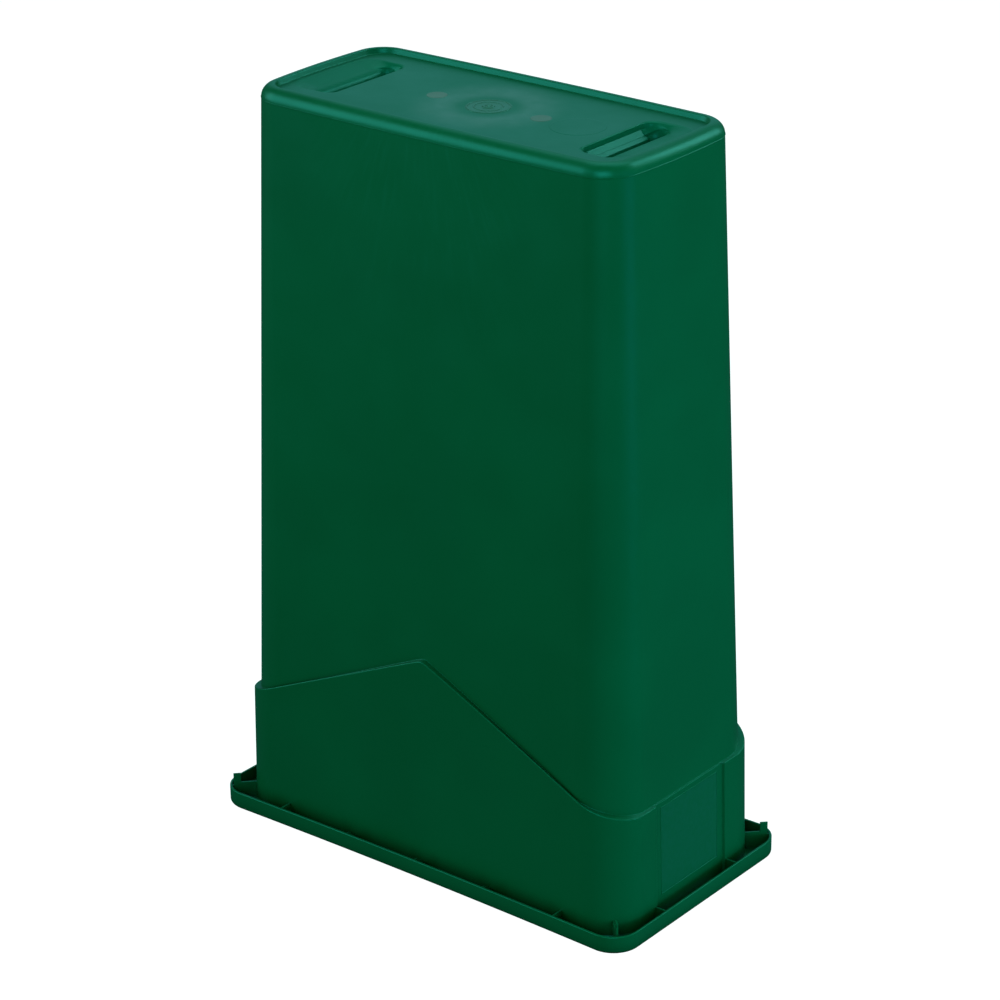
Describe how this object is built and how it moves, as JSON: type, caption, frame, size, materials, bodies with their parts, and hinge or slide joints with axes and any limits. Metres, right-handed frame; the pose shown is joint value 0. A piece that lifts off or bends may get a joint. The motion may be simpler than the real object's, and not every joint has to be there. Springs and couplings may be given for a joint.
{
  "type": "slim rectangular waste container",
  "caption": "Tall slim rectangular waste container moulded in green plastic, upside down on its rim, with a chevron collar, ribbed rim and base grips.",
  "frame": {"origin": "centre of the rim plane, which is the mouth of the container", "axes": "+Z from the mouth towards the closed base, X along the long sides, Y across the short ends. The container stands upside down in this frame: turn it over about X to use it."},
  "size_m": [0.508, 0.2696, 0.7514],
  "materials": {
    "body_green": "satin moulded polyethylene, faint flow streaks, fine spark texture",
    "base_green": "satin moulded polyethylene, pale bloom round the gate",
    "gate_green": "satin, with turned rings",
    "pad_green": "paler and matt"
  },
  "bodies": {
    "root": {"rim_deck": "body_green", "rim_skirt": "body_green", "trough_ribs": "body_green", "corner_gussets": "body_green", "front_collar": "body_green", "rear_collar": "body_green", "collar_corners": "body_green", "left_end_panel": "body_green", "right_end_panel": "body_green", "label_frames": "body_green", "ledge": "body_green", "front_wall": "body_green", "rear_wall": "body_green", "left_end_wall": "body_green", "right_end_wall": "body_green", "corner_walls": "body_green", "foot_ring": "base_green", "base_panel": "base_green", "left_grip_pocket": "base_green", "right_grip_pocket": "base_green", "gate_boss": "gate_green", "ejector_pads": "pad_green", "blank_disc": "base_green"}
  },
  "joints": []
}
